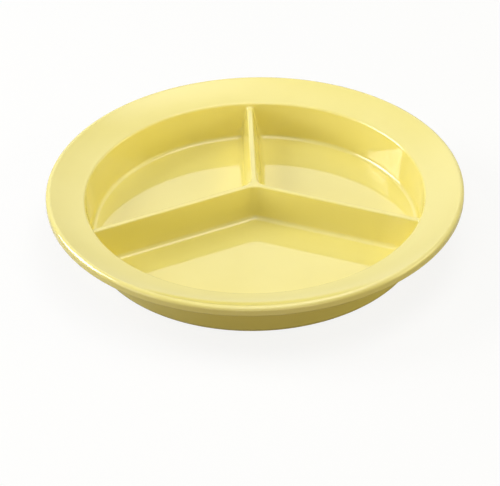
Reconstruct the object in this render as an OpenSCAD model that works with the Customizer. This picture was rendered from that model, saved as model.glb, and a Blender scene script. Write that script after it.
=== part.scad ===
// Divided compartment plate: one glossy moulding, modelled as the regions that a mould maker would name.
// Lengths are in millimetres.
// The origin is the centre of the base, +Z is up and the rear divider lies on +Y.

/* [Overall] */
// Diameter over the lip
plate_d = 260; // [240:1:290]
// Width of the rim, from the wall's inner face at the mouth to the outside of the lip
rim_w = 24.2; // [18:0.2:32]
// Depth from the mouth down to the compartment floors
bowl_depth = 24.6; // [20:0.2:32]
// Height of the lip's crest above the mouth
rim_rise = 5.9; // [4:0.1:8]

/* [Wall and floor] */
// Thickness of the wall, square to its faces
wall_t = 3; // [2.4:0.1:4]
// Lean of the wall from upright, in degrees
wall_draft = 8; // [4:0.5:14]
// Thickness of the floor
floor_t = 3.2; // [2.4:0.1:4.5]
// Radius where the floor turns up into the wall
floor_fillet = 3; // [2:0.1:5]
// Radius of the rounded edge at the mouth
mouth_round = 1.8; // [1:0.1:3]
// Radius of the outer bottom edge
bottom_round = 4.8; // [3:0.1:6]

/* [Rim] */
// Thickness of the rim
rim_t = 3; // [2.4:0.1:4]
// Radius of the shallow hollow that the rim's upper face follows
rim_arc_r = 108; // [70:1:160]
// Radius where the rim's underside meets the wall
root_fillet = 3; // [2:0.1:4]
// Height of the lip from its crest to its lower edge
lip_h = 6.1; // [5.5:0.1:9]
// Thickness of the lip
lip_t = 3; // [2.4:0.1:4]
// Radius over the lip's crest
lip_round = 2.4; // [1.5:0.1:2.8]
// Radius of the two edges under the lip
lip_low_round = 1.2; // [0.6:0.1:1.4]
// Radius inside the lip, where it leaves the rim's underside
lip_fillet = 1; // [0.6:0.1:1.4]

/* [Foot ring] */
// Height of the foot ring below the floor's underside
foot_h = 3.5; // [2:0.1:4.5]
// Width of the foot ring's flat underside
foot_flat_w = 3; // [2:0.1:6]
// Lean of the foot ring's inner face, in degrees
foot_draft = 8; // [0:1:15]

/* [Dividers] */
// Distance from the mouth's height down to the dividers' crests
divider_drop = 3.3; // [2.5:0.1:8]
// Width of a divider at its crest, before the edges are rounded
divider_top_w = 3.4; // [2.4:0.1:6]
// Lean of each divider face from upright, in degrees
divider_draft = 11; // [6:0.5:14]
// Radius of the edges along a divider's crest
divider_round = 1.1; // [0.6:0.1:1.4]
// Radius where a divider meets the floor
divider_fillet = 3.5; // [2:0.1:5]
// Angle from the rear divider to each of the other two, in degrees
divider_spread = 114.5; // [100:0.5:125]
// Distance of the dividers' meeting point behind the centre
hub_offset = 15; // [0:0.5:25]
// Floor radius of the front corner at the meeting point
front_corner_r = 3; // [1:0.1:6]
// Floor radius of the two rear corners at the meeting point
rear_corner_r = 2; // [1:0.1:6]

/* [Hidden] */
plate_yellow = "#F2E69C";
// Facets round the plate, and steps along each small round stretch of an outline
$fn = 180;
arc_steps = 6;
// How far a cutting shape runs past what it cuts
overrun = 1;
// The most that two roundings on one edge may take of its thickness, each
edge_round_share = 0.45;

// Heights
floor_z = foot_h + floor_t;
mouth_z = floor_z + bowl_depth;
crest_z = mouth_z + rim_rise;
lip_z = crest_z - lip_h;
divider_z = mouth_z - divider_drop;
outer_r = plate_d / 2;
mouth_r = outer_r - rim_w;

// The wall's two faces, as a radius at each height
function wall_in_r(z) = mouth_r - (mouth_z - z) * tan(wall_draft);
function wall_out_r(z) = wall_in_r(z) + wall_t / cos(wall_draft);

// A point in a given direction, the direction from one point to another, and the points along an arc
function polar(r, a) = [r * cos(a), r * sin(a)];
function angle_to(p, q) = atan2(q[1] - p[1], q[0] - p[0]);
function arc(c, r, from, to) = [for (i = [0:arc_steps]) c + polar(r, from + (to - from) * i / arc_steps)];

// The upper meeting point of two circles
function circles_meet(p, rp, q, rq) =
    let (d = norm(q - p))
    let (u = (q - p) / d)
    let (along = (d * d + rp * rp - rq * rq) / (2 * d))
    p + along * u + sqrt(rp * rp - along * along) * [-u[1], u[0]];

// The lower meeting point of a circle with the line through p in a given direction
function line_meets_circle(p, direction, c, r) =
    let (from_c = p - c)
    let (along = from_c * direction)
    p - (along + sqrt(along * along - from_c * from_c + r * r)) * direction;

// Centres of the round stretches of the ring's outline, as [radius, height]
floor_c = [wall_in_r(floor_z + floor_fillet) - floor_fillet / cos(wall_draft), floor_z + floor_fillet];
mouth_c = [wall_in_r(mouth_z - mouth_round) + mouth_round / cos(wall_draft), mouth_z - mouth_round];
lip_c = [outer_r - lip_round, crest_z - lip_round];
rim_c = circles_meet(mouth_c, rim_arc_r + mouth_round, lip_c, rim_arc_r + lip_round);
under_r = rim_arc_r + rim_t;
lip_in_r = outer_r - lip_t;
lip_edge_r = min(lip_low_round, lip_t * edge_round_share);
lip_root_c = line_meets_circle([lip_in_r - lip_fillet, 0], [0, 1], rim_c, under_r + lip_fillet);
bottom_c = [wall_out_r(bottom_round) - bottom_round / cos(wall_draft), bottom_round];
foot_in_r = bottom_c[0] - foot_flat_w;
foot_top_r = foot_in_r - foot_h * tan(foot_draft);

// Centre of the fillet under the rim: it touches the rim's underside and the leaning outer wall
root_foot = [wall_out_r(0) + root_fillet / cos(wall_draft), 0];
root_c = line_meets_circle(root_foot, [sin(wall_draft), cos(wall_draft)], rim_c, under_r + root_fillet);
root_angle = angle_to(root_c, rim_c);

// Where the ring is divided into the wall, the rim and the lip, and where the floor begins
rim_in_r = root_c[0] + root_fillet * cos(root_angle);
rim_out_r = lip_root_c[0] + lip_fillet * cos(angle_to(lip_root_c, rim_c));
floor_r = floor_c[0];

// Angle on a circle about rim_c at which it passes a given radius of the plate
function rim_angle(r, circle_r) = 360 - acos((r - rim_c[0]) / circle_r);

// Outline of everything outside the floor
ring_outline = concat(
    [[floor_r, foot_h]],
    arc(floor_c, floor_fillet, 270, 360 - wall_draft),
    arc(mouth_c, mouth_round, 180 - wall_draft, angle_to(mouth_c, rim_c)),
    arc(rim_c, rim_arc_r, angle_to(mouth_c, rim_c) + 180, angle_to(lip_c, rim_c) + 180),
    arc(lip_c, lip_round, angle_to(lip_c, rim_c), 0),
    arc([outer_r - lip_edge_r, lip_z + lip_edge_r], lip_edge_r, 0, -90),
    arc([lip_in_r + lip_edge_r, lip_z + lip_edge_r], lip_edge_r, -90, -180),
    arc(lip_root_c, lip_fillet, 0, angle_to(lip_root_c, rim_c)),
    arc(rim_c, under_r, rim_angle(rim_out_r, under_r), rim_angle(rim_in_r, under_r)),
    arc(root_c, root_fillet, root_angle, 180 - wall_draft),
    arc(bottom_c, bottom_round, -wall_draft, -90),
    [[foot_in_r, 0], [foot_top_r, foot_h]]
);

// Distance of a divider's face from its middle plane at each height
function divider_side(z) = divider_top_w / 2 + (divider_z - z) * tan(divider_draft);
divider_edge_r = min(divider_round, divider_top_w * edge_round_share);
divider_foot_w = divider_side(floor_z + divider_fillet) + divider_fillet / cos(divider_draft);
divider_edge_x = divider_side(divider_z - divider_edge_r) - divider_edge_r / cos(divider_draft);

// Half of a divider's section above the floor, as [distance from its middle plane, height]
divider_face = concat(
    arc([divider_foot_w, floor_z + divider_fillet], divider_fillet, 270, 180 + divider_draft),
    arc([divider_edge_x, divider_z - divider_edge_r], divider_edge_r, divider_draft, 90)
);

// Directions of the dividers and of the corners between them
rear_angle = 90;
left_angle = rear_angle + divider_spread;
right_angle = rear_angle - divider_spread;
front_opening = 360 - 2 * divider_spread;
front_corner_angle = rear_angle + 180;
left_corner_angle = rear_angle + divider_spread / 2;
right_corner_angle = rear_angle - divider_spread / 2;

// Distance of each corner's axis from the dividers' middle planes, and how far out along a divider it lies
front_corner_w = divider_foot_w + front_corner_r;
rear_corner_w = divider_foot_w + rear_corner_r;
front_corner_out = front_corner_w / tan(front_opening / 2);
rear_corner_out = rear_corner_w / tan(divider_spread / 2);

front_corner = polar(front_corner_w / sin(front_opening / 2), front_corner_angle);
left_corner = polar(rear_corner_w / sin(divider_spread / 2), left_corner_angle);
right_corner = polar(rear_corner_w / sin(divider_spread / 2), right_corner_angle);

// One region of the ring, cut out by a window of radii and heights
module ring_region(r_from, r_to, z_from, z_to) {
    rotate_extrude()
        intersection() {
            polygon(ring_outline);
            translate([r_from, z_from]) square([r_to - r_from, z_to - z_from]);
        }
}

// The space inside the wall, from the floor's underside up to the dividers' crests
module bowl_space() {
    rotate_extrude()
        polygon(concat(
            [[0, foot_h], [floor_r, foot_h]],
            arc(floor_c, floor_fillet, 270, 360 - wall_draft),
            [[wall_in_r(divider_z), divider_z], [0, divider_z]]
        ));
}

// Half of a divider on its left as seen from the meeting point, starting at a distance from it
module half_divider(start) {
    translate([start, 0, 0])
        rotate([90, 0, 90])
            linear_extrude(plate_d)
                polygon(concat([[0, foot_h], [divider_foot_w, foot_h]], divider_face, [[0, divider_z]]));
}

// A divider in a given direction, with the start of its left and right halves
module divider(angle, left_start, right_start) {
    color(plate_yellow)
        intersection() {
            bowl_space();
            translate([0, hub_offset, 0])
                rotate([0, 0, angle]) {
                    half_divider(left_start);
                    mirror([0, 1, 0]) half_divider(right_start);
                }
        }
}

// Outline of the dividers' meeting, about the meeting point
module hub_outline() {
    polygon([
        right_corner, polar(rear_corner_out, right_angle), polar(front_corner_out, right_angle),
        front_corner, polar(front_corner_out, left_angle), polar(rear_corner_out, left_angle), left_corner
    ]);
}

// The air in a rounded corner between two dividers, turned about the corner's axis
module corner_air(corner, corner_w) {
    translate(corner)
        rotate_extrude()
            polygon(concat(
                [[0, floor_z]],
                [for (p = divider_face) [corner_w - p[0], p[1]]],
                [[corner_w - divider_edge_x, divider_z + overrun], [0, divider_z + overrun]]
            ));
}

// One compartment's floor, between two divider directions
module compartment_floor(from_angle, opening) {
    tip = polar(divider_foot_w / sin(opening / 2), from_angle + opening / 2);
    color(plate_yellow)
        translate([0, 0, foot_h])
            linear_extrude(floor_t)
                difference() {
                    intersection() {
                        circle(floor_r);
                        translate([0, hub_offset])
                            polygon([tip, tip + polar(plate_d, from_angle),
                                tip + polar(2 * plate_d, from_angle + opening / 2),
                                tip + polar(plate_d, from_angle + opening)]);
                    }
                    translate([0, hub_offset]) hub_outline();
                }
}

// Broad sloping rim, hollowed a little along its upper face
module rim() {
    color(plate_yellow) ring_region(rim_in_r, rim_out_r, 0, crest_z);
}

// Turned-down outer edge of the rim
module rim_lip() {
    color(plate_yellow) ring_region(rim_out_r, outer_r + overrun, 0, crest_z + overrun);
}

// Leaning ring wall with the rounded mouth, the inner foot fillet and the outer bottom edge
module bowl_wall() {
    color(plate_yellow) ring_region(0, rim_in_r, foot_h, crest_z);
}

// Low ring that the plate stands on
module foot_ring() {
    color(plate_yellow) ring_region(0, rim_in_r, -overrun, foot_h);
}

// Floor of the large front compartment
module floor_front() {
    compartment_floor(left_angle, front_opening);
}

// Floor of the rear left compartment
module floor_back_left() {
    compartment_floor(rear_angle, divider_spread);
}

// Floor of the rear right compartment
module floor_back_right() {
    compartment_floor(right_angle, divider_spread);
}

// Divider between the front and rear left compartments
module divider_left() {
    divider(left_angle, front_corner_out, rear_corner_out);
}

// Divider between the front and rear right compartments
module divider_right() {
    divider(right_angle, rear_corner_out, front_corner_out);
}

// Divider between the two rear compartments
module divider_back() {
    divider(rear_angle, rear_corner_out, rear_corner_out);
}

// Meeting of the three dividers, with its rounded corners
module divider_hub() {
    color(plate_yellow)
        translate([0, hub_offset, 0])
            difference() {
                translate([0, 0, foot_h])
                    linear_extrude(divider_z - foot_h)
                        hub_outline();
                corner_air(front_corner, front_corner_w);
                corner_air(left_corner, rear_corner_w);
                corner_air(right_corner, rear_corner_w);
            }
}

rim();
rim_lip();
bowl_wall();
foot_ring();
floor_front();
floor_back_left();
floor_back_right();
divider_left();
divider_right();
divider_back();
divider_hub();
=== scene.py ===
"""Divided compartment plate: the glossy moulding, its lights, floor and camera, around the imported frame."""
import math

import bmesh
import bpy
import numpy as np
from mathutils import Matrix, Vector


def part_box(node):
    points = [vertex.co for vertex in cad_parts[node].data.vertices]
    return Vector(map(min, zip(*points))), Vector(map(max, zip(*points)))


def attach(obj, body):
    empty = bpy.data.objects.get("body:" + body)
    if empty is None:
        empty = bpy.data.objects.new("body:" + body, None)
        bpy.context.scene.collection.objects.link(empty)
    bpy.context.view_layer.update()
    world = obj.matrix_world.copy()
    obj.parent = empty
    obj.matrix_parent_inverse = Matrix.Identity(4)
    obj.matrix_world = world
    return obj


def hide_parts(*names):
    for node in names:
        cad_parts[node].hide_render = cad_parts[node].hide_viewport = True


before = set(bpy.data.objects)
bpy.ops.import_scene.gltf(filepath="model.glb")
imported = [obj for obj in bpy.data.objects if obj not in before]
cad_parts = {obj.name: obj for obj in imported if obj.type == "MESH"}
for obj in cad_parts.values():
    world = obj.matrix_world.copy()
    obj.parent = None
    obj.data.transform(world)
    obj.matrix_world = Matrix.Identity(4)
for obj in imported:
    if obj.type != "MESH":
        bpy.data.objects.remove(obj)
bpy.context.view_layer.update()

MM = 0.001


def height_of(node, end):
    """Height in millimetres of a node's lowest (0) or highest (1) point."""
    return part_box(node)[end].z / MM


# Sizes of the moulding, in millimetres, with four of its heights taken from the frame
OUTER_R = 130.0
MOUTH_R = 105.8
FOOT_H = height_of("foot_ring", 1)
FLOOR_Z = height_of("floor_front", 1)
DIVIDER_Z = height_of("divider_back", 1)
MOUTH_Z = 31.3
CREST_Z = 37.2
LIP_Z = height_of("rim_lip", 0)
WALL_T = 3.0
WALL_DRAFT = math.radians(8)
FLOOR_FILLET = 3.0
MOUTH_ROUND = 1.8
BOTTOM_ROUND = 4.8
RIM_T = 3.0
RIM_ARC_R = 108.0
ROOT_FILLET = 3.0
LIP_T = 3.0
LIP_ROUND = 2.4
LIP_LOW_ROUND = 1.2
LIP_FILLET = 1.0
FOOT_FLAT_W = 3.0
FOOT_DRAFT = math.radians(8)
FOOT_EDGE = 0.5
DIVIDER_TOP_W = 3.4
DIVIDER_DRAFT = math.radians(11)
DIVIDER_ROUND = 1.1
DIVIDER_FILLET = 3.5
# Degrees between the rear divider and each of the others, and the point where their middles meet
DIVIDER_SPREAD = 114.5
HUB = np.array([0.0, 15.0])
# Radii of the compartments' corners at the hub, where the dividers' fillets reach the floor
FRONT_CORNER_R = 3.0
REAR_CORNER_R = 2.0
# Radius of the upright fillets where a divider runs into the wall, and the reach of the mesh's band there
END_FILLET = 1.5
END_BAND = 1.7
# Where that fillet hands over to the wall's own foot fillet, as heights above the floor
END_FILLET_FROM = 4.0
END_FILLET_TO = 8.0

NODES = ["rim", "rim_lip", "bowl_wall", "foot_ring", "floor_front", "floor_back_left", "floor_back_right",
         "divider_left", "divider_right", "divider_back", "divider_hub"]
# The moulding's two layers: a face's node as its place in that list, and the way a vertex's surface faces
TAG = "node"
FACING = "facing"

# How far out the hidden sides of the inner pieces reach, and the distance within which points weld
INSIDE_WALL_R = 103.0
WELD = 0.002

# The photograph's frame and camera, with lengths in millimetres and angles in degrees
IMAGE_W, IMAGE_H = 500, 486
SENSOR_MM = 36.0
FOCAL_PX = 2711.9
CAMERA_DISTANCE = 1690.0
CAMERA_HEIGHT = 33.855
CAMERA_ROLL = 1.309
CAMERA_TURN = -1.12
# Where the point on the plate's axis at the height AIM_Z shows in the photograph
AIM_PX = 254.8, 193.16
AIM_Z = 31.03

# Colours are linear. The plastic's colour wanders between two near shades
PLASTIC_DEEP = (0.85, 0.75, 0.22)
PLASTIC_PALE = (0.87, 0.775, 0.25)
PLASTIC_IOR = 1.56
PLASTIC_ROUGHNESS = 0.045, 0.06
# Cells per metre of the colour's clouds, the haze in the gloss and the surface's swell
CLOUD_SCALE = 14.0
HAZE_SCALE = 60.0
SWELL_SCALE = 22.0
# The swell's depth in metres
SWELL_DEPTH = 0.00003
# The stretch of a noise's values that carries it from one end of its range to the other
NOISE_LOW, NOISE_HIGH = 0.3, 0.7
# The floor's colour to the eye and in the gloss, and the one by which it lights the plate
FLOOR_SEEN = (0.95, 0.95, 0.95)
FLOOR_BOUNCE = (0.11, 0.07, 0.02)
# How much of the floor's white is its own to the eye: the rest comes from the lamps
FLOOR_GLOW = 0.86
FLOOR_SIZE = 8.0
# The soft light from all round that falls on things, where the world looks 1 to the eye
AMBIENT = 0.1
WHITE = (1.0, 1.0, 1.0)
WARM = (1.0, 0.925, 0.5)
FRONT = (1.0, 0.88, 0.6)
# Each lamp's name, azimuth, height, distance, width, length, brightness, colour and share that fades out:
# angles in degrees, lengths in metres
LAMPS = [
    ("softbox_left", 166, 29, 1.5, 0.86, 0.95, 6.5, WHITE, 0.12),
    ("softbox_above", 52, 67, 1.5, 1.2, 1.2, 2.3, WHITE, 0.9),
    ("softbox_top", -60, 82, 1.5, 1.7, 1.2, 1.95, WHITE, 0.3),
    ("reflector_right", -4, 22, 1.6, 1.3, 1.1, 3.4, WARM, 0.6),
    ("reflector_front", -84, 6, 1.7, 2.7, 0.35, 4.7, FRONT, 0.5),
    ("panel_left_front", -152, 11, 1.6, 0.9, 0.5, 4.4, WHITE, 0.6),
]
# The window's glint, which only shows in the gloss
WINDOW = ("window_left", 166, 29, 1.45, 0.86, 0.95, 6.2, WHITE, 0.12)
# Pale cards that only show in the gloss, given as the lamps are, but without a colour
CARDS = [
    ("card_back", 96, 38, 2.0, 4.2, 2.1, 1.0, 0.9),
    ("card_high", 72, 69, 1.6, 1.6, 1.2, 0.9, 0.95),
    ("card_right", 20, 35, 1.8, 1.6, 1.4, 1.5, 0.95),
    ("card_front", -90, 58, 1.6, 1.9, 1.0, 1.3, 0.8),
    ("card_back_high", 90, 62, 1.9, 2.6, 0.9, 0.5, 0.9),
]
# A card fades in while the cosine to its direction rises from nought to this, so that none shows behind
CARD_DAWN = 0.1

# Steps of the mesh inside a compartment, along each kind of stretch
CORNER_STEPS = 24
ARM_STEPS = 24
BAND_STEPS = 10
ROUND_STEPS = 14
FACE_STEPS = 10
FILLET_STEPS = 20
REAR_WALL_STEPS = 90
FRONT_WALL_STEPS = 120
# Steps of the ring's section, from the mouth's edge over the rim and down to the foot
MOUTH_STEPS = 12
RIM_STEPS = 16
RIM_IN_STEPS = 3
RIM_OUT_STEPS = 2
LIP_STEPS = 12
LIP_LOW_STEPS = 8
UNDER_RIM_STEPS = 12
ROOT_STEPS = 10
BOTTOM_STEPS = 12
WALL_END_STEPS = 2
FOOT_STEPS = 5

# Rounds of drawing points onto the surface, and the step in millimetres for measuring its slope
SETTLE_ROUNDS = 14
SLOPE_STEP = 1e-4
# The cosine beyond which two surfaces count as one, and a number that keeps divisions from nought
NEARLY_ONE = 0.999
TINY = 1e-12


def polar(angle):
    """Unit direction at an angle in radians."""
    return np.array([math.cos(angle), math.sin(angle)])


def angle_to(p, q):
    """Direction from p to q, in radians."""
    return math.atan2(q[1] - p[1], q[0] - p[0])


def wall_in_r(z):
    """Radius of the wall's inner face at a height."""
    return MOUTH_R - (MOUTH_Z - z) * math.tan(WALL_DRAFT)


def wall_out_r(z):
    """Radius of the wall's outer face at a height."""
    return wall_in_r(z) + WALL_T / math.cos(WALL_DRAFT)


def divider_side(z):
    """Distance of a divider's face from its middle plane at a height."""
    return DIVIDER_TOP_W / 2 + (DIVIDER_Z - z) * math.tan(DIVIDER_DRAFT)


def circles_meet(p, rp, q, rq):
    """Upper meeting point of two circles."""
    d = np.linalg.norm(q - p)
    u = (q - p) / d
    along = (d * d + rp * rp - rq * rq) / (2 * d)
    return p + along * u + math.sqrt(rp * rp - along * along) * np.array([-u[1], u[0]])


def line_meets_circle(p, direction, c, r):
    """Lower meeting point of a circle with the line through p in a direction."""
    along = (p - c) @ direction
    return p - (along + math.sqrt(along * along - (p - c) @ (p - c) + r * r)) * direction


def arc(centre, radius, start, end, steps, hollow=False):
    """Points along an arc of the ring's section, each as a place and the way its surface faces."""
    side = -1 if hollow else 1
    angles = [start + (end - start) * i / steps for i in range(steps + 1)]
    return [(centre + radius * polar(a), side * polar(a)) for a in angles]


def ring_section():
    """The ring's section, from the mouth's edge over the rim and down to the foot, as (node, points)."""
    up, down, back = math.pi / 2, -math.pi / 2, math.pi
    mouth_z = MOUTH_Z - MOUTH_ROUND
    mouth_c = np.array([wall_in_r(mouth_z) + MOUTH_ROUND / math.cos(WALL_DRAFT), mouth_z])
    lip_c = np.array([OUTER_R - LIP_ROUND, CREST_Z - LIP_ROUND])
    rim_c = circles_meet(mouth_c, RIM_ARC_R + MOUTH_ROUND, lip_c, RIM_ARC_R + LIP_ROUND)
    mouth_angle = angle_to(mouth_c, rim_c)
    lip_angle = angle_to(lip_c, rim_c)
    under_r = RIM_ARC_R + RIM_T

    lip_in_r = OUTER_R - LIP_T
    lip_low_z = LIP_Z + LIP_LOW_ROUND
    lip_low_out_c = np.array([OUTER_R - LIP_LOW_ROUND, lip_low_z])
    lip_low_in_c = np.array([lip_in_r + LIP_LOW_ROUND, lip_low_z])
    lip_foot = np.array([lip_in_r - LIP_FILLET, 0.0])
    lip_root_c = line_meets_circle(lip_foot, polar(up), rim_c, under_r + LIP_FILLET)
    lip_root_angle = angle_to(lip_root_c, rim_c)
    root_foot = np.array([wall_out_r(0) + ROOT_FILLET / math.cos(WALL_DRAFT), 0.0])
    root_c = line_meets_circle(root_foot, polar(up - WALL_DRAFT), rim_c, under_r + ROOT_FILLET)
    root_angle = angle_to(root_c, rim_c)
    rim_in_r = root_c[0] + ROOT_FILLET * math.cos(root_angle)
    rim_out_r = lip_root_c[0] + LIP_FILLET * math.cos(lip_root_angle)

    bottom_c = np.array([wall_out_r(BOTTOM_ROUND) - BOTTOM_ROUND / math.cos(WALL_DRAFT), BOTTOM_ROUND])
    foot_angle = -math.asin((BOTTOM_ROUND - FOOT_H) / BOTTOM_ROUND)
    foot_in_r = bottom_c[0] - FOOT_FLAT_W
    lean, slope = math.sin(FOOT_DRAFT), math.cos(FOOT_DRAFT)
    foot_edge_c = np.array([foot_in_r + FOOT_EDGE * (1 - lean) / slope, FOOT_EDGE])
    foot_root_z = FOOT_H - FOOT_EDGE
    foot_root_c = np.array([foot_in_r - (FOOT_EDGE + foot_root_z * lean) / slope, foot_root_z])

    def on_rim(r, circle_r):
        """Angle on a circle about the rim's centre at a radius of the plate."""
        return -math.acos((r - rim_c[0]) / circle_r)

    top_in, top_out = on_rim(rim_in_r, RIM_ARC_R), on_rim(rim_out_r, RIM_ARC_R)
    under_in, under_out = on_rim(rim_in_r, under_r), on_rim(rim_out_r, under_r)
    return [
        ("bowl_wall", arc(mouth_c, MOUTH_ROUND, back - WALL_DRAFT, mouth_angle, MOUTH_STEPS)),
        ("bowl_wall", arc(rim_c, RIM_ARC_R, mouth_angle - back, top_in, RIM_IN_STEPS, hollow=True)[1:]),
        ("rim", arc(rim_c, RIM_ARC_R, top_in, top_out, RIM_STEPS, hollow=True)[1:]),
        ("rim_lip", arc(rim_c, RIM_ARC_R, top_out, lip_angle - back, RIM_OUT_STEPS, hollow=True)[1:]),
        ("rim_lip", arc(lip_c, LIP_ROUND, lip_angle, 0, LIP_STEPS)[1:]),
        ("rim_lip", arc(lip_low_out_c, LIP_LOW_ROUND, 0, down, LIP_LOW_STEPS)),
        ("rim_lip", arc(lip_low_in_c, LIP_LOW_ROUND, down, -back, LIP_LOW_STEPS)),
        ("rim_lip", arc(lip_root_c, LIP_FILLET, 0, lip_root_angle, LIP_LOW_STEPS, hollow=True)),
        ("rim", arc(rim_c, under_r, under_out, under_in, UNDER_RIM_STEPS)[1:]),
        ("bowl_wall", arc(root_c, ROOT_FILLET, root_angle, back - WALL_DRAFT, ROOT_STEPS, hollow=True)[1:]),
        ("bowl_wall", arc(bottom_c, BOTTOM_ROUND, -WALL_DRAFT, foot_angle, WALL_END_STEPS)),
        ("foot_ring", arc(bottom_c, BOTTOM_ROUND, foot_angle, down, BOTTOM_STEPS)[1:]),
        ("foot_ring", arc(foot_edge_c, FOOT_EDGE, down, -back + FOOT_DRAFT, FOOT_STEPS)),
        ("foot_ring", arc(foot_root_c, FOOT_EDGE, FOOT_DRAFT, up, FOOT_STEPS, hollow=True)),
    ]


def fillet(a, b, radius):
    """Two surfaces, each a distance and its gradient, joined by a fillet in their hollow corner."""
    (da, ga), (db, gb) = a, b
    c = np.clip((ga * gb).sum(1), -NEARLY_ONE, NEARLY_ONE)
    sine2 = 1 - c * c
    u, v = da - radius, db - radius
    reach = np.sqrt(np.maximum(u * u + v * v - 2 * u * v * c, TINY) / sine2)
    inside = (u < v * c) & (v < u * c)
    turned = -((u - v * c)[:, None] * ga + (v - u * c)[:, None] * gb) / (sine2 * reach)[:, None]
    distance = np.where(inside, radius - reach, np.minimum(da, db))
    nearest = np.where((da < db)[:, None], ga, gb)
    return distance, np.where(inside[:, None], turned, nearest)


def rounded_edge(a, b, radius):
    """Two surfaces that meet in an outer edge, rounded to a radius."""
    distance, gradient = fillet((-a[0], -a[1]), (-b[0], -b[1]), radius)
    return -distance, -gradient


# Half of a divider's section: where its top edge turns and where its foot fillet ends
EDGE_Z = DIVIDER_Z - DIVIDER_ROUND
EDGE_W = divider_side(EDGE_Z) - DIVIDER_ROUND / math.cos(DIVIDER_DRAFT)
FOOT_C_Z = FLOOR_Z + DIVIDER_FILLET
FOOT_W = divider_side(FOOT_C_Z) + DIVIDER_FILLET / math.cos(DIVIDER_DRAFT)
WALL_FOOT_Z = FLOOR_Z + FLOOR_FILLET
WALL_FOOT_R = wall_in_r(WALL_FOOT_Z) - FLOOR_FILLET / math.cos(WALL_DRAFT)
# Where the two halves of the top edge's mesh part from the hub's corners, along a divider
CREST_PART = 6.1
# How far the mesh's bands reach at the foot of the corners between dividers and wall
FOOT_BAND = 0.6


class Compartment:
    """One compartment between two dividers: its directions, its corner at the hub and its surface."""

    def __init__(self, floor, dividers, start, opening, corner_r, wall_steps):
        self.floor = floor
        self.dividers = dividers
        self.wall_steps = wall_steps
        self.start = math.radians(start)
        self.end = math.radians(start + opening)
        half = math.radians(opening / 2)
        self.along = polar(self.start), polar(self.end)
        self.inward = polar(self.start + math.pi / 2), polar(self.end - math.pi / 2)
        self.corner_w = FOOT_W + corner_r
        self.corner = HUB + polar(self.start + half) * self.corner_w / math.sin(half)
        self.corner_out = self.corner_w / math.tan(half)

    def from_middle(self, p):
        """Distance of plan points from the dividers' middle, rounded at the hub, with its gradient."""
        q = p - HUB
        w = [q @ n for n in self.inward]
        s = [q @ d for d in self.along]
        first = np.where((s[0] < self.corner_out) != (s[1] < self.corner_out), s[1] < s[0], w[0] < w[1])
        straight = np.where(first, w[0], w[1])
        facing = np.where(first[:, None], self.inward[0], self.inward[1])
        spoke = self.corner - p
        length = np.maximum(np.linalg.norm(spoke, axis=1), TINY)
        rounded = (s[0] < self.corner_out) & (s[1] < self.corner_out)
        distance = np.where(rounded, self.corner_w - length, straight)
        return distance, np.where(rounded[:, None], spoke / length[:, None], facing)

    def surface(self, p):
        """Distance above the moulding's upper surface at points in this compartment, with its gradient."""
        z = p[:, 2]
        level = np.tile([0.0, 0.0, 1.0], (len(p), 1))
        w, facing = self.from_middle(p[:, :2])
        lean = math.sin(DIVIDER_DRAFT)
        slope = math.cos(DIVIDER_DRAFT)
        face = (w - divider_side(z)) * slope, np.column_stack([facing * slope, np.full(len(p), lean)])
        divider = rounded_edge((z - DIVIDER_Z, level), face, DIVIDER_ROUND)
        ground = fillet((z - FLOOR_Z, level), divider, DIVIDER_FILLET)
        r = np.linalg.norm(p[:, :2], axis=1)
        lean = math.sin(WALL_DRAFT)
        slope = math.cos(WALL_DRAFT)
        spokes = -p[:, :2] / r[:, None]
        wall = (wall_in_r(z) - r) * slope, np.column_stack([spokes * slope, np.full(len(p), lean)])
        rise = np.clip((z - FLOOR_Z - END_FILLET_FROM) / (END_FILLET_TO - END_FILLET_FROM), 0, 1)
        share = rise * rise * (3 - 2 * rise)
        return fillet(ground, wall, FLOOR_FILLET + (END_FILLET - FLOOR_FILLET) * share)

    def settle(self, points):
        """Points drawn onto the surface, and the way it faces there."""
        p = np.array(points, float)
        for _ in range(SETTLE_ROUNDS):
            distance, gradient = self.surface(p)
            p -= distance[:, None] * gradient
        slopes = []
        for axis in np.eye(3) * SLOPE_STEP:
            slopes.append(self.surface(p + axis)[0] - self.surface(p - axis)[0])
        facing = np.column_stack(slopes)
        return p, facing / np.linalg.norm(facing, axis=1)[:, None]

    def reach(self, side, offset, radius):
        """The plan point at an offset from a divider's middle plane and at a radius of the plate."""
        q = HUB + offset * self.inward[side]
        along = q @ self.along[side]
        return q + (math.sqrt(along * along - q @ q + radius * radius) - along) * self.along[side]


def turns(start, end, steps):
    """Angles in radians from one angle in degrees to another, without the first."""
    return [math.radians(start + (end - start) * i / steps) for i in range(1, steps + 1)]


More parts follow.
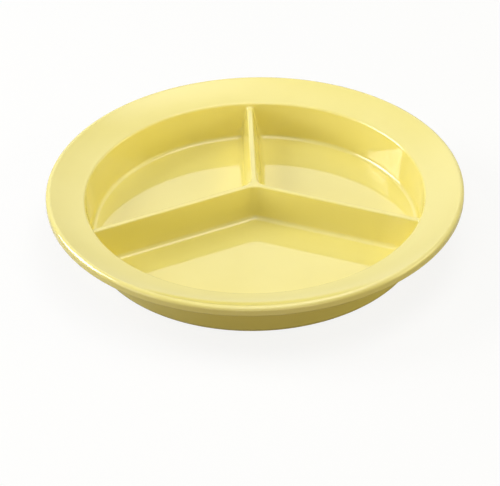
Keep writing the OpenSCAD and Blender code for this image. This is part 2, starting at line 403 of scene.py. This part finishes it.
def levels():
    """Each level of the mesh inside a compartment: [w, z] on the divider, the w at which the band along the
    divider's end meets the wall, [r, z] on the wall, and the band's reach from the wall."""
    draft = math.degrees(DIVIDER_DRAFT)
    wall_draft = math.degrees(WALL_DRAFT)
    band_r = DIVIDER_ROUND + END_BAND
    top_z = MOUTH_Z - MOUTH_ROUND + MOUTH_ROUND * math.sin(WALL_DRAFT)
    rows = [((0, DIVIDER_Z), 0, (wall_in_r(top_z), top_z), END_BAND)]
    for a in [math.pi / 2] + turns(90, draft, ROUND_STEPS):
        w, z = EDGE_W + DIVIDER_ROUND * math.cos(a), EDGE_Z + DIVIDER_ROUND * math.sin(a)
        band_z = EDGE_Z + band_r * math.sin(a)
        rows.append(((w, z), EDGE_W + band_r * math.cos(a), (wall_in_r(band_z), band_z), END_BAND))
    z_from, wall_from = rows[-1][0][1], rows[-1][2][1]
    z_to = FOOT_C_Z - DIVIDER_FILLET * math.sin(DIVIDER_DRAFT)
    wall_to = WALL_FOOT_Z - FLOOR_FILLET * math.sin(WALL_DRAFT)
    side_band = END_BAND / math.cos(DIVIDER_DRAFT)
    for i in range(1, FACE_STEPS + 1):
        share = i / FACE_STEPS
        z, wall_z = z_from + (z_to - z_from) * share, wall_from + (wall_to - wall_from) * share
        w = divider_side(z)
        rows.append(((w, z), w + side_band, (wall_in_r(wall_z), wall_z), END_BAND))
    divider_turns = turns(180 + draft, 270, FILLET_STEPS)
    wall_turns = turns(-wall_draft, -90, FILLET_STEPS)
    for i, (a, b) in enumerate(zip(divider_turns, wall_turns), 1):
        share = i / FILLET_STEPS
        w, z = FOOT_W + DIVIDER_FILLET * math.cos(a), FOOT_C_Z + DIVIDER_FILLET * math.sin(a)
        wall = WALL_FOOT_R + FLOOR_FILLET * math.cos(b), WALL_FOOT_Z + FLOOR_FILLET * math.sin(b)
        rows.append(((w, z), w + side_band + (FOOT_BAND - side_band) * share, wall,
                     END_BAND + (FOOT_BAND - END_BAND) * share))
    return rows


def inner_r(z):
    """Radius of the wall's inner face, with its foot fillet, at a height."""
    if z >= WALL_FOOT_Z - FLOOR_FILLET * math.sin(WALL_DRAFT):
        return wall_in_r(z)
    return WALL_FOOT_R + math.sqrt(max(FLOOR_FILLET ** 2 - (WALL_FOOT_Z - z) ** 2, 0))


def between(p, q, steps):
    """Points from p to q without the last."""
    p, q = np.array(p, float), np.array(q, float)
    return [p + (q - p) * i / steps for i in range(steps)]


def level_points(room, level):
    """One level's closed line of points: along the first divider, round the wall and back round the hub."""
    (w, z), band_w, (wall_r, wall_z), band = level
    arms, walls = [], []
    for side in (0, 1):
        arms.append(room.reach(side, w, inner_r(z) - band))
        walls.append(room.reach(side, band_w, wall_r))
    if w:
        starts = [room.corner - (room.corner_w - w) * n for n in room.inward]
        corner_from, corner_to = room.end + math.pi / 2, room.start + 3 * math.pi / 2
        sweep = [corner_from + (corner_to - corner_from) * i / CORNER_STEPS for i in range(CORNER_STEPS)]
        corner = [[*(room.corner + (room.corner_w - w) * polar(a)), z] for a in sweep]
    else:
        starts = [HUB + CREST_PART * d for d in room.along]
        half = CORNER_STEPS // 2
        corner = between([*starts[1], z], [*HUB, z], half) + between([*HUB, z], [*starts[0], z], half)
    first, last = angle_to((0, 0), walls[0]), angle_to((0, 0), walls[1])
    last += 2 * math.pi * (last < first)
    angles = [first + (last - first) * i / room.wall_steps for i in range(room.wall_steps)]
    return (between([*starts[0], z], [*arms[0], z], ARM_STEPS)
            + between([*arms[0], z], [*walls[0], wall_z], BAND_STEPS)
            + [[*(wall_r * polar(a)), wall_z] for a in angles]
            + between([*walls[1], wall_z], [*arms[1], z], BAND_STEPS)
            + between([*arms[1], z], [*starts[1], z], ARM_STEPS)
            + corner)


def add_ring(bm, ring, nodes, tag):
    """Adds a copy of a closed line of vertices, with faces in between, each tagged with its node."""
    new = [bm.verts.new(v.co) for v in ring]
    corners = zip(ring[1:] + ring[:1], ring, new, new[1:] + new[:1])
    for quad, node in zip(corners, nodes):
        bm.faces.new(quad)[tag] = node
    return new


def line_nodes(room):
    """The node that each step of a compartment's line belongs to."""
    first, last = (NODES.index(n) for n in room.dividers)
    side = ARM_STEPS + BAND_STEPS
    wall = [NODES.index("bowl_wall")] * room.wall_steps
    return [first] * side + wall + [last] * side + [NODES.index("divider_hub")] * CORNER_STEPS


def press_compartment(bm, room, tag, facing):
    """The inside of one compartment, from the dividers' tops down to its floor."""
    ring = None
    for level in levels():
        points, slopes = room.settle(level_points(room, level))
        if ring is None:
            ring = [bm.verts.new(p) for p in points]
        else:
            ring = add_ring(bm, ring, line_nodes(room), tag)
        for v, p, slope in zip(ring, points, slopes):
            v.co = p
            v[facing] = slope
    floor = bm.faces.new(ring)
    floor[tag] = NODES.index(room.floor)


def press_ring(bm, tag, facing):
    """Everything outside the mouth: the line at the mouth's edge, led along the ring's section."""
    verts = {v for e in bm.edges if e.is_boundary for v in e.verts}
    # Clockwise, so that the new faces turn the same way round as the compartments'
    ring = sorted(verts, key=lambda v: math.atan2(v.co.y, v.co.x), reverse=True)
    stretches = ring_section()
    r, z = stretches[0][1][0][0]
    steps = [(NODES.index(node), place, slope) for node, points in stretches for place, slope in points][1:]
    for node, (new_r, new_z), (out, rise) in steps:
        ring = add_ring(bm, ring, [node] * len(ring), tag)
        bmesh.ops.scale(bm, vec=(new_r / r, new_r / r, 1), verts=ring)
        bmesh.ops.translate(bm, vec=(0, 0, new_z - z), verts=ring)
        r, z = new_r, new_z
        for v in ring:
            turn = math.atan2(v.co.y, v.co.x)
            v[facing] = (out * math.cos(turn), out * math.sin(turn), rise)


def boundary_loops(bm):
    """The mesh's open edges, as one list for each closed line, in the same order each run."""
    left = dict.fromkeys(e for e in bm.edges if e.is_boundary)
    loops = []
    while left:
        edge = left.popitem()[0]
        loop, ends = [edge], list(edge.verts)
        while ends:
            v = ends.pop()
            for e in [e for e in v.link_edges if e in left]:
                del left[e]
                loop.append(e)
                ends.append(e.other_vert(v))
        loops.append(loop)
    return loops


def mean_height(edges):
    """Mean height of a closed line of edges."""
    return sum(v.co.z for e in edges for v in e.verts) / (2 * len(edges))


def mean_radius(edges):
    """Mean radius of a closed line of edges from the plate's axis."""
    return sum(math.hypot(*v.co.xy) for e in edges for v in e.verts) / (2 * len(edges))


def close_rings(bm, loops):
    """Bridges open rings of equal count two by two, going outwards."""
    loops = sorted(loops, key=mean_radius)
    for pair in zip(loops[::2], loops[1::2]):
        bmesh.ops.bridge_loops(bm, edges=pair[0] + pair[1])


def drop_edges(bm, edges):
    """Adds faces from edges to the floor's underside, inside the wall, and returns their lower edges."""
    low = {}
    for v in dict.fromkeys(v for e in edges for v in e.verts):
        shrink = min(1, INSIDE_WALL_R / math.hypot(*v.co.xy))
        low[v] = bm.verts.new((v.co.x * shrink, v.co.y * shrink, FOOT_H))
    for e in edges:
        a = e.link_loops[0].vert
        b = e.other_vert(a)
        bm.faces.new((b, a, low[a], low[b]))
    return [bm.edges.get([low[v] for v in e.verts]) for e in edges]


def close_piece(bm, node):
    """Closes one node's surface: hidden against its neighbours, and flat under the floors and dividers."""
    loops = sorted(boundary_loops(bm), key=mean_height)
    if node in ("rim", "rim_lip", "foot_ring"):
        close_rings(bm, loops)
    elif node == "bowl_wall":
        outside, inside = loops[:2]
        close_rings(bm, loops[2:])
        bmesh.ops.triangle_fill(bm, use_beauty=True, edges=drop_edges(bm, inside) + outside)
    else:
        bmesh.ops.contextual_create(bm, geom=drop_edges(bm, loops[0]))


def make_piece(moulding, node, material):
    """The piece that stands for one node: its part of the surface, closed where it was parted."""
    bm = moulding.copy()
    tag = bm.faces.layers.int[TAG]
    facing = bm.verts.layers.float_vector[FACING]
    others = [f for f in bm.faces if f[tag] != NODES.index(node)]
    bmesh.ops.delete(bm, geom=others, context="FACES")
    shown = set(bm.faces)
    close_piece(bm, node)
    bmesh.ops.recalc_face_normals(bm, faces=bm.faces)
    bmesh.ops.scale(bm, vec=(MM, MM, MM), verts=bm.verts)
    bm.normal_update()
    normals = []
    for f in bm.faces:
        normals += [corner.vert[facing].copy() if f in shown else f.normal.copy() for corner in f.loops]
    bm.faces.layers.int.remove(bm.faces.layers.int[TAG])
    bm.verts.layers.float_vector.remove(bm.verts.layers.float_vector[FACING])
    mesh = bpy.data.meshes.new(node + "_moulding")
    bm.to_mesh(mesh)
    bm.free()
    mesh.shade_smooth()
    mesh.normals_split_custom_set(normals)
    mesh.materials.append(material)
    piece = bpy.data.objects.new(node + "_moulding", mesh)
    bpy.context.scene.collection.objects.link(piece)
    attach(piece, "root")
    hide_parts(node)


def make_plate(material):
    """The whole moulding as one seamless surface, then one piece for each of its nodes."""
    spread = DIVIDER_SPREAD
    left, right = 90 + spread, 90 - spread
    rooms = [
        Compartment("floor_front", ("divider_left", "divider_right"), left, 360 - 2 * spread,
                    FRONT_CORNER_R, FRONT_WALL_STEPS),
        Compartment("floor_back_left", ("divider_back", "divider_left"), 90, spread,
                    REAR_CORNER_R, REAR_WALL_STEPS),
        Compartment("floor_back_right", ("divider_right", "divider_back"), right, spread,
                    REAR_CORNER_R, REAR_WALL_STEPS),
    ]
    bm = bmesh.new()
    tag = bm.faces.layers.int.new(TAG)
    facing = bm.verts.layers.float_vector.new(FACING)
    for room in rooms:
        press_compartment(bm, room, tag, facing)
    bmesh.ops.remove_doubles(bm, verts=bm.verts, dist=WELD)
    press_ring(bm, tag, facing)
    for node in NODES:
        make_piece(bm, node, material)
    bm.free()


# The places of the Mix node's two colour inputs and of its colour output, whose names other sockets share
MIX_FIRST, MIX_SECOND, MIX_RESULT = 6, 7, 2


class Value:
    """A socket in a material's nodes, on which arithmetic adds Math nodes."""

    def __init__(self, tree, socket):
        self.tree = tree
        self.socket = socket

    def node(self, kind, settings=None, inputs=None, output=0):
        """Any other node: its settings first, then the values or links of its sockets."""
        made = self.tree.nodes.new(kind)
        for name, value in (settings or {}).items():
            setattr(made, name, value)
        for name, value in (inputs or {}).items():
            if isinstance(value, Value):
                self.tree.links.new(value.socket, made.inputs[name])
            else:
                made.inputs[name].default_value = value
        return Value(self.tree, made.outputs[output])

    def math(self, operation, *values):
        """A Math node on values or numbers."""
        return self.node("ShaderNodeMath", {"operation": operation}, dict(enumerate(values)))

    def __add__(self, other):
        return self.math("ADD", self, other)

    def __radd__(self, other):
        return self.math("ADD", other, self)

    def __sub__(self, other):
        return self.math("SUBTRACT", self, other)

    def __rsub__(self, other):
        return self.math("SUBTRACT", other, self)

    def __mul__(self, other):
        return self.math("MULTIPLY", self, other)

    def __rmul__(self, other):
        return self.math("MULTIPLY", other, self)

    def __truediv__(self, other):
        return self.math("DIVIDE", self, other)

    def __rtruediv__(self, other):
        return self.math("DIVIDE", other, self)

    def dot(self, axis):
        """How far this direction goes along an axis."""
        return self.node("ShaderNodeVectorMath", {"operation": "DOT_PRODUCT"}, {0: self, 1: axis}, "Value")

    def noise(self, scale, detail=2.0, roughness=0.5):
        """Noise of about 0 to 1 at this position, with a scale in cells per metre."""
        inputs = {"Vector": self, "Scale": scale, "Detail": detail, "Roughness": roughness}
        return self.node("ShaderNodeTexNoise", inputs=inputs)

    def ramp(self, low, high, to_low=0.0, to_high=1.0):
        """This value from one range to another, held at its ends."""
        inputs = {"Value": self, "From Min": low, "From Max": high, "To Min": to_low, "To Max": to_high}
        return self.node("ShaderNodeMapRange", {"interpolation_type": "SMOOTHSTEP"}, inputs)

    def mix(self, first, second):
        """Two colours mixed by this value."""
        inputs = {"Factor": self, MIX_FIRST: (*first, 1), MIX_SECOND: (*second, 1)}
        return self.node("ShaderNodeMix", {"data_type": "RGBA"}, inputs, MIX_RESULT)


def plate_plastic():
    """Pale yellow melamine: hard, glossy, coloured right through and faintly uneven as moulded."""
    material = bpy.data.materials.new("plate_plastic")
    material.use_nodes = True
    tree = material.node_tree
    shader = next(n for n in tree.nodes if n.type == "BSDF_PRINCIPLED")
    shader.inputs["IOR"].default_value = PLASTIC_IOR
    place = Value(tree, tree.nodes.new("ShaderNodeTexCoord").outputs["Object"])
    cloud = place.noise(CLOUD_SCALE, detail=3)
    haze = place.noise(HAZE_SCALE, detail=4)
    swell = place.noise(SWELL_SCALE, detail=1)
    bump = {"Strength": 1.0, "Distance": SWELL_DEPTH, "Height": swell}
    finish = {
        "Base Color": cloud.ramp(NOISE_LOW, NOISE_HIGH).mix(PLASTIC_DEEP, PLASTIC_PALE),
        "Roughness": haze.ramp(NOISE_LOW, NOISE_HIGH, *PLASTIC_ROUGHNESS),
        "Normal": swell.node("ShaderNodeBump", inputs=bump),
    }
    for name, value in finish.items():
        tree.links.new(value.socket, shader.inputs[name])
    return material


def seen_by(tree, *kinds):
    """1 for rays of the kinds that are named, and 0 for all others."""
    path = tree.nodes.new("ShaderNodeLightPath").outputs
    found = Value(tree, path[f"Is {kinds[0]} Ray"])
    for kind in kinds[1:]:
        found = found.math("MAXIMUM", found, Value(tree, path[f"Is {kind} Ray"]))
    return found


def make_floor():
    """A plain floor, white to the eye apart from the plate's shadow, that lights the plate only dimly."""
    material = bpy.data.materials.new("pale_floor")
    material.use_nodes = True
    tree = material.node_tree
    tree.nodes.clear()
    looks = seen_by(tree, "Camera", "Glossy", "Transmission")
    glow = looks.node("ShaderNodeEmission", inputs={"Color": (*WHITE, 1), "Strength": 1.0})
    matt = looks.node("ShaderNodeBsdfDiffuse", inputs={"Color": (*FLOOR_SEEN, 1)})
    under = looks.node("ShaderNodeBsdfDiffuse", inputs={"Color": (*FLOOR_BOUNCE, 1)})
    share = seen_by(tree, "Camera") * FLOOR_GLOW
    seen = looks.node("ShaderNodeMixShader", inputs={0: share, 1: matt, 2: glow})
    surface = looks.node("ShaderNodeMixShader", inputs={0: looks, 1: under, 2: seen})
    output = tree.nodes.new("ShaderNodeOutputMaterial")
    tree.links.new(surface.socket, output.inputs["Surface"])
    mesh = bpy.data.meshes.new("floor")
    bm = bmesh.new()
    bmesh.ops.create_grid(bm, x_segments=1, y_segments=1, size=FLOOR_SIZE / 2)
    bm.to_mesh(mesh)
    bm.free()
    mesh.materials.append(material)
    floor = bpy.data.objects.new("floor", mesh)
    bpy.context.scene.collection.objects.link(floor)


def frame_of(azimuth, height):
    """The direction at an azimuth from +X and a height above the floor, then across and up from it."""
    a, h = math.radians(azimuth), math.radians(height)
    away = Vector((math.cos(h) * math.cos(a), math.cos(h) * math.sin(a), math.sin(h)))
    across = Vector((-math.sin(a), math.cos(a), 0))
    return away, across, away.cross(across)


def card(direction, azimuth, height, distance, width, length, brightness, fade):
    """How bright one card is in each direction from the plate, with edges that fade out."""
    ahead, *sides = [direction.dot(axis) for axis in frame_of(azimuth, height)]
    glow = ahead.ramp(0, CARD_DAWN, 0, brightness)
    for side, size in zip(sides, (width, length)):
        glow = glow * (side.math("ABSOLUTE", side / ahead) * (2 * distance / size)).ramp(1 - fade, 1, 1, 0)
    return glow


def light_world():
    """White to the eye, white with paler cards in the gloss, and a soft light on the plate."""
    world = bpy.data.worlds.new("studio")
    bpy.context.scene.world = world
    world.use_nodes = True
    world.cycles.sampling_method = "NONE"
    tree = world.node_tree
    tree.nodes.clear()
    direction = Value(tree, tree.nodes.new("ShaderNodeTexCoord").outputs["Generated"])
    looks = seen_by(tree, "Camera", "Glossy", "Transmission")
    cards = sum(card(direction, *row[1:]) for row in CARDS)
    strength = looks * (1 - AMBIENT) + AMBIENT + seen_by(tree, "Glossy") * cards
    tint = looks.mix(WARM, WHITE)
    glow = looks.node("ShaderNodeBackground", inputs={"Color": tint, "Strength": strength})
    output = tree.nodes.new("ShaderNodeOutputWorld")
    tree.links.new(glow.socket, output.inputs["Surface"])


def add_lamp(name, azimuth, height, distance, width, length, brightness, colour, fade, gloss_only=False):
    """A rectangular lamp at an azimuth from +X and a height above the floor, facing the plate."""
    lamp = bpy.data.lights.new(name, "AREA")
    lamp.shape = "RECTANGLE"
    lamp.size, lamp.size_y = width, length
    lamp.energy = math.pi * width * length * brightness
    lamp.color = colour
    lamp.use_nodes = True
    tree = lamp.node_tree
    across = Value(tree, tree.nodes.new("ShaderNodeNewGeometry").outputs["Parametric"])
    middle = across.node("ShaderNodeSeparateXYZ", inputs={"Vector": across})
    sides = [Value(tree, out) for out in middle.socket.node.outputs[:2]]
    edges = [(side.math("ABSOLUTE", side - 0.5) * 2).ramp(1 - fade, 1, 1, 0) for side in sides]
    emission = next(n for n in tree.nodes if n.type == "EMISSION")
    tree.links.new((edges[0] * edges[1]).socket, emission.inputs["Strength"])
    holder = bpy.data.objects.new(name, lamp)
    away = frame_of(azimuth, height)[0]
    holder.location = away * distance
    holder.rotation_euler = away.to_track_quat("Z", "Y").to_euler()
    holder.visible_diffuse = not gloss_only
    bpy.context.scene.collection.objects.link(holder)


def place_camera():
    """The photograph's camera: in front and above, a little to the left, and rolled slightly."""
    rise = math.radians(CAMERA_HEIGHT)
    right = Vector((1, 0, 0))
    back = Vector((0, -math.cos(rise), math.sin(rise)))
    up = back.cross(right)
    looking = Matrix((right, up, back)).transposed()
    roll = Matrix.Rotation(math.radians(CAMERA_ROLL), 3, "Z").transposed()
    ray = Vector((AIM_PX[0] - IMAGE_W / 2, IMAGE_H / 2 - AIM_PX[1], -FOCAL_PX)).normalized()
    swing = Vector((0, 0, -1)).rotation_difference(ray).to_matrix().transposed()
    turn = Matrix.Rotation(math.radians(CAMERA_TURN), 3, "Z")
    lens = bpy.data.cameras.new("camera")
    lens.sensor_width = SENSOR_MM
    lens.lens = FOCAL_PX * SENSOR_MM / IMAGE_W
    camera = bpy.data.objects.new("camera", lens)
    spot = turn @ (back * CAMERA_DISTANCE * MM) + Vector((0, 0, AIM_Z * MM))
    camera.matrix_world = Matrix.Translation(spot) @ (turn @ looking @ roll @ swing).to_4x4()
    bpy.context.scene.collection.objects.link(camera)
    bpy.context.scene.camera = camera


place_camera()
make_plate(plate_plastic())
make_floor()
light_world()
for lamp in LAMPS:
    add_lamp(*lamp)
add_lamp(*WINDOW, gloss_only=True)
bpy.context.scene.view_settings.view_transform = "Standard"
